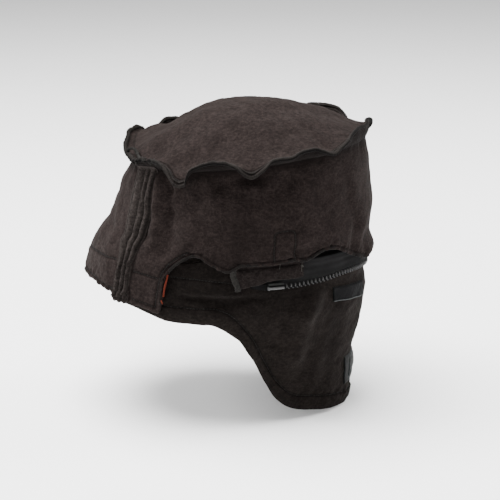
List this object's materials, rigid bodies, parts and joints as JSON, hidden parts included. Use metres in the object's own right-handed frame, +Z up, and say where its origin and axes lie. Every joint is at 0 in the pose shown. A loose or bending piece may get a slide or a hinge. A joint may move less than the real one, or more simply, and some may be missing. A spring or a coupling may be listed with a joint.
{
  "type": "helmet liner",
  "caption": "Fleece winter liner worn under a helmet: domed crown with a wavy overlocked flange, cloth wall with ear arches, long zip and a neck flap below it.",
  "frame": {"origin": "inside of the top of the crown, where the top of the head sits", "axes": "+Z up, the forehead toward -Y, the nape toward +Y, the wearer's left toward +X"},
  "size_m": [0.1765, 0.2129, 0.227],
  "materials": {
    "fleece": "matte napped fleece",
    "flap_fleece": "matte napped fleece",
    "overlock_thread": "matte sewing thread",
    "zip_tape": "woven tape",
    "zip_teeth": "satin moulded plastic",
    "patch_cloth": "smooth woven cloth",
    "orange_tape": "woven tape"
  },
  "bodies": {
    "root": {"crown": "fleece", "crown_flange": "fleece", "crown_edge": "overlock_thread", "front_panel": "fleece", "side_back_wall": "fleece", "wall_edge": "overlock_thread", "left_front_seam": "overlock_thread", "right_front_seam": "overlock_thread", "front_facing": "flap_fleece", "zipper_facing_left": "flap_fleece", "zipper_facing_right": "flap_fleece", "zipper_tape": "zip_tape", "zipper_teeth": "zip_teeth", "zipper_end_left": "zip_teeth", "zipper_end_right": "zip_teeth", "neck_flap": "flap_fleece", "nape_patch_left": "patch_cloth", "nape_patch_right": "patch_cloth", "nape_label": "patch_cloth", "side_tag": "orange_tape"}
  },
  "joints": []
}
